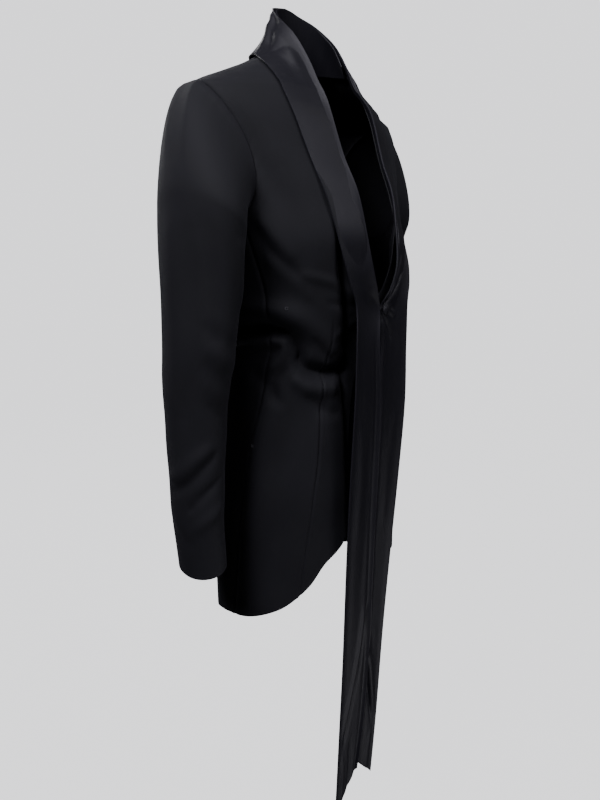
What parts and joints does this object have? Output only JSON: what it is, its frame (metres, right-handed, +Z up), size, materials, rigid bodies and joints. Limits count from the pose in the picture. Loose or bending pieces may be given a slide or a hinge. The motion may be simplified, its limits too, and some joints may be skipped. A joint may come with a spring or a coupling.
{
  "type": "women's tuxedo blazer",
  "caption": "Close-fitted tuxedo blazer, worn and hollow, with one waist button and a satin shawl collar whose two ends hang down to the calf as scarf bands.",
  "frame": {"origin": "middle of the neck opening, level with the two points where the neck and the shoulder seams meet, where the wearer's shoulders hold the blazer", "axes": "+Z up along the wearer, -Y out of the blazer's front, +X towards the wearer's left"},
  "size_m": [0.4998, 0.2824, 1.1953],
  "materials": {
    "wool": "smooth fine wool, near black with a faint blue-violet tone",
    "satin": "black satin with a broad soft sheen",
    "button": "satin-covered button"
  },
  "bodies": {
    "root": {"right_front": "wool", "left_front": "wool", "right_side": "wool", "left_side": "wool", "right_back": "wool", "left_back": "wool", "right_top_sleeve": "wool", "left_top_sleeve": "wool", "right_under_sleeve": "wool", "left_under_sleeve": "wool", "right_scarf_collar": "satin", "left_scarf_collar": "satin", "collar_stand": "satin", "closure_button": "button"}
  },
  "joints": []
}
